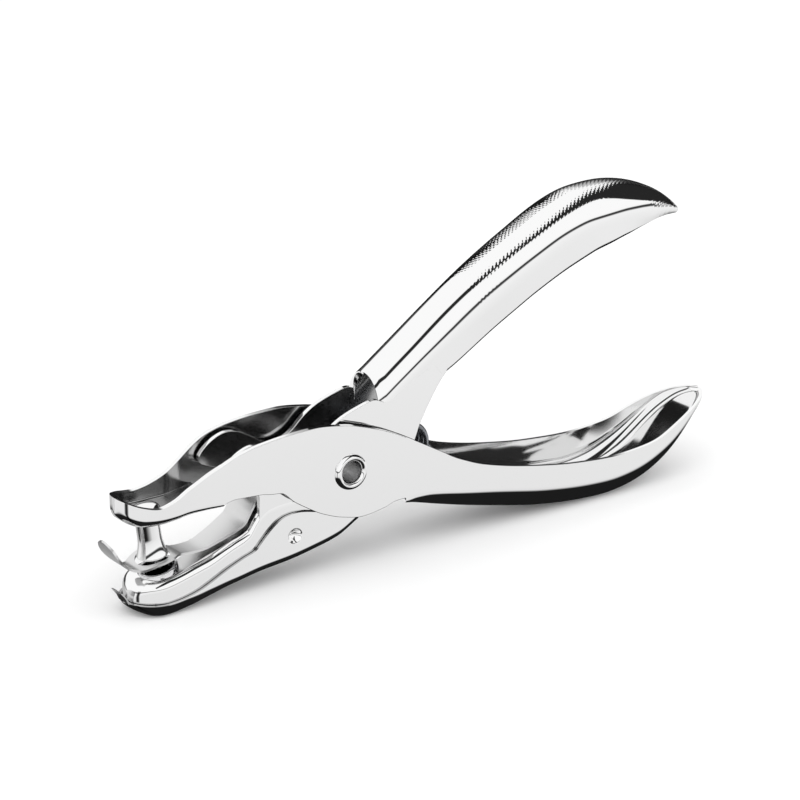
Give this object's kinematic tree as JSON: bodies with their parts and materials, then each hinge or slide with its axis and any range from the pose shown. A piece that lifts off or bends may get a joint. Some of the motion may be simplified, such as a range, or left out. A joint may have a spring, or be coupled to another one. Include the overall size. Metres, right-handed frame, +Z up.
{
  "type": "single hole punch",
  "caption": "Chrome-plated plier-style paper punch with crossed levers, round punch and die, leaf stripper, chip tray and return spring.",
  "frame": {"origin": "centre of the bounding box on the surface that the punch stands on", "axes": "+X from the jaws to the handles, +Y along the pivot, +Z up; the punch stands on its chip tray and on the belly of its lower handle"},
  "size_m": [0.1398, 0.0166, 0.0635],
  "materials": {
    "outer_lever": "mirror-polished chrome plate on pressed steel",
    "inner_lever": "mirror-polished chrome plate on pressed steel, knurled on the grip",
    "pivot_rivet": "polished chrome plate on a rolled steel eyelet",
    "punch_pin": "plated turned steel",
    "die_bush": "turned steel",
    "paper_stripper": "polished plate on thin sheet",
    "chip_tray": "mirror-polished chrome plate on thin sheet",
    "return_spring": "drawn spring wire"
  },
  "bodies": {
    "outer": {"outer_lever": "outer_lever", "pivot_rivet": "pivot_rivet", "punch_pin": "punch_pin", "return_spring": "return_spring"},
    "inner": {"inner_lever": "inner_lever", "die_bush": "die_bush", "paper_stripper": "paper_stripper"},
    "tray": {"chip_tray": "chip_tray"}
  },
  "joints": [
    {"name": "squeeze", "type": "hinge", "parent": "outer", "child": "inner", "pos_m": [-0.02025, 0, 0.01982], "axis": [0, 1, 0], "range_deg": [0, 6.5], "stiffness_Nm_per_rad": 1.5, "springref_deg": -11.46, "deforming": ["return_spring"]},
    {"name": "tray_swing", "type": "hinge", "parent": "inner", "child": "tray", "pos_m": [-0.03192, 0, 0.00911], "axis": [0, -1, 0], "range_deg": [0, 12]}
  ]
}
